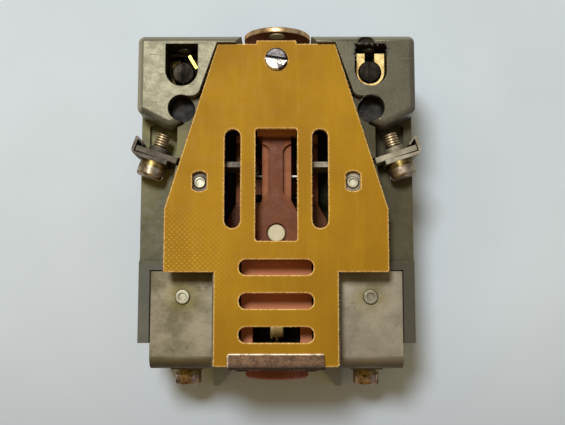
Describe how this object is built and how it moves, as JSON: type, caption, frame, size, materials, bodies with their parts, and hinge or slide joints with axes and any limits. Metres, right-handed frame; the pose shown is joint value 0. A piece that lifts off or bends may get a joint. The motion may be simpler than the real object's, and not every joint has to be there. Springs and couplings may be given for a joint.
{
  "type": "thermal overload relay",
  "caption": "Flat two-pole thermal overload relay with a slotted laminate front plate, screw terminals at both ends, a setting knob and a reset button.",
  "frame": {"origin": "rear face, on the relay's centre line, near the middle of its length", "axes": "+Z out of the front plate, +Y towards the reset button, +X to the right seen from the front"},
  "size_m": [0.0698, 0.0928, 0.0371],
  "materials": {
    "housing_moulding": "moulded, dusty",
    "cover_moulding": "moulded, slight sheen",
    "laminate": "varnished woven laminate",
    "insulating_sheet": "pressed sheet",
    "plated_steel": "worn plating",
    "tarnished_steel": "tarnished plating",
    "aluminium": "riveted",
    "brass": "dull",
    "copper": "dull copper",
    "resistance_ribbon": "oxidised ribbon",
    "mica": "pressed mica",
    "bimetal": "rolled strip",
    "silver": "silver",
    "blackened_steel": "blackened",
    "compound": "sealing compound",
    "brown_moulding": "phenolic moulding",
    "spring_steel": "drawn wire",
    "pusher_laminate": "pressed laminate",
    "knob_moulding": "phenolic moulding"
  },
  "bodies": {
    "housing": {"housing": "housing_moulding", "terminal_cover_left": "cover_moulding", "terminal_cover_right": "cover_moulding", "rear_cover": "insulating_sheet", "rear_cover_screws": "plated_steel", "front_plate": "laminate", "front_plate_screw": "plated_steel", "plate_retainer": "plated_steel", "retainer_rivets": "aluminium", "mounting_inserts": "brass", "load_terminal_left": "plated_steel", "load_terminal_right": "plated_steel", "load_terminal_rivets": "aluminium", "load_square_washers": "plated_steel", "load_spring_washers": "plated_steel", "load_terminal_screws": "plated_steel", "load_terminal_nuts": "plated_steel", "bimetal_brackets": "plated_steel", "heater_sleeve_left": "mica", "heater_sleeve_right": "mica", "heater_winding_left": "resistance_ribbon", "heater_winding_right": "resistance_ribbon", "heater_link_left": "copper", "heater_link_right": "copper", "line_clamp_left": "brass", "line_clamp_right": "brass", "line_clamp_screws": "blackened_steel", "well_plugs": "compound", "calibration_screws": "plated_steel", "aux_terminal_left": "brass", "aux_terminal_right": "brass", "aux_terminal_rivets": "aluminium", "aux_clamps": "plated_steel", "aux_spring_washers": "plated_steel", "aux_terminal_screws": "plated_steel", "fixed_contacts": "silver", "mechanism_frame": "brown_moulding", "frame_screws": "plated_steel", "pivot_pin": "plated_steel", "trip_spring": "spring_steel", "compensator_pin": "plated_steel", "spindle_bush": "brass"},
    "trip": {"trip_lever": "brown_moulding", "lever_rivet": "aluminium", "contact_bridge": "brass", "moving_contacts": "silver", "bridge_spring": "spring_steel"},
    "reset": {"reset_disc": "tarnished_steel", "reset_disc_rivet": "aluminium", "reset_rod": "tarnished_steel"},
    "pusher": {"pusher_bar": "pusher_laminate"},
    "bimetal_left": {"bimetal_left": "bimetal"},
    "bimetal_right": {"bimetal_right": "bimetal"},
    "carrier": {"setting_carrier": "brass"},
    "compensator": {"compensator": "bimetal"},
    "knob": {"setting_knob": "knob_moulding", "setting_spindle": "tarnished_steel", "spindle_clip": "plated_steel"}
  },
  "joints": [
    {"name": "trip_swing", "type": "hinge", "parent": "housing", "child": "trip", "pos_m": [0, 0.003, 0.017], "axis": [1, 0, 0], "range_deg": [0, 8]},
    {"name": "reset_slide", "type": "slide", "parent": "housing", "child": "reset", "axis": [0, 1, 0], "range_m": [0, 0.0017]},
    {"name": "pusher_slide", "type": "slide", "parent": "housing", "child": "pusher", "axis": [1, 0, 0], "range_m": [0, 0.002]},
    {"name": "bimetal_left_bend", "type": "hinge", "parent": "housing", "child": "bimetal_left", "pos_m": [-0.0229, -0.0204, 0.013], "axis": [0, 0, 1], "range_deg": [-2.9, 0]},
    {"name": "bimetal_right_bend", "type": "hinge", "parent": "housing", "child": "bimetal_right", "pos_m": [0.0229, -0.0204, 0.013], "axis": [0, 0, 1], "range_deg": [-2.9, 0]},
    {"name": "knob_turn", "type": "hinge", "parent": "housing", "child": "knob", "pos_m": [0, -0.0415, 0.017], "axis": [0, 1, 0], "range_deg": [-60, 60]},
    {"name": "carrier_swing", "type": "hinge", "parent": "housing", "child": "carrier", "pos_m": [0, -0.004, 0.0095], "axis": [0, 0, 1], "range_deg": [-1.25, 1.25]},
    {"name": "compensator_swing", "type": "hinge", "parent": "carrier", "child": "compensator", "pos_m": [0, -0.004, 0.012], "axis": [0, 0, 1], "range_deg": [-4.5, 0]}
  ],
  "couplings": [
    {"joint": "reset_slide", "follows": "trip_swing", "m_per_rad": 0.0115},
    {"joint": "bimetal_left_bend", "follows": "pusher_slide", "rad_per_m": -23.4},
    {"joint": "bimetal_right_bend", "follows": "pusher_slide", "rad_per_m": -23.4},
    {"joint": "compensator_swing", "follows": "pusher_slide", "rad_per_m": -37.9},
    {"joint": "knob_turn", "follows": "carrier_swing", "ratio": 47.8}
  ]
}
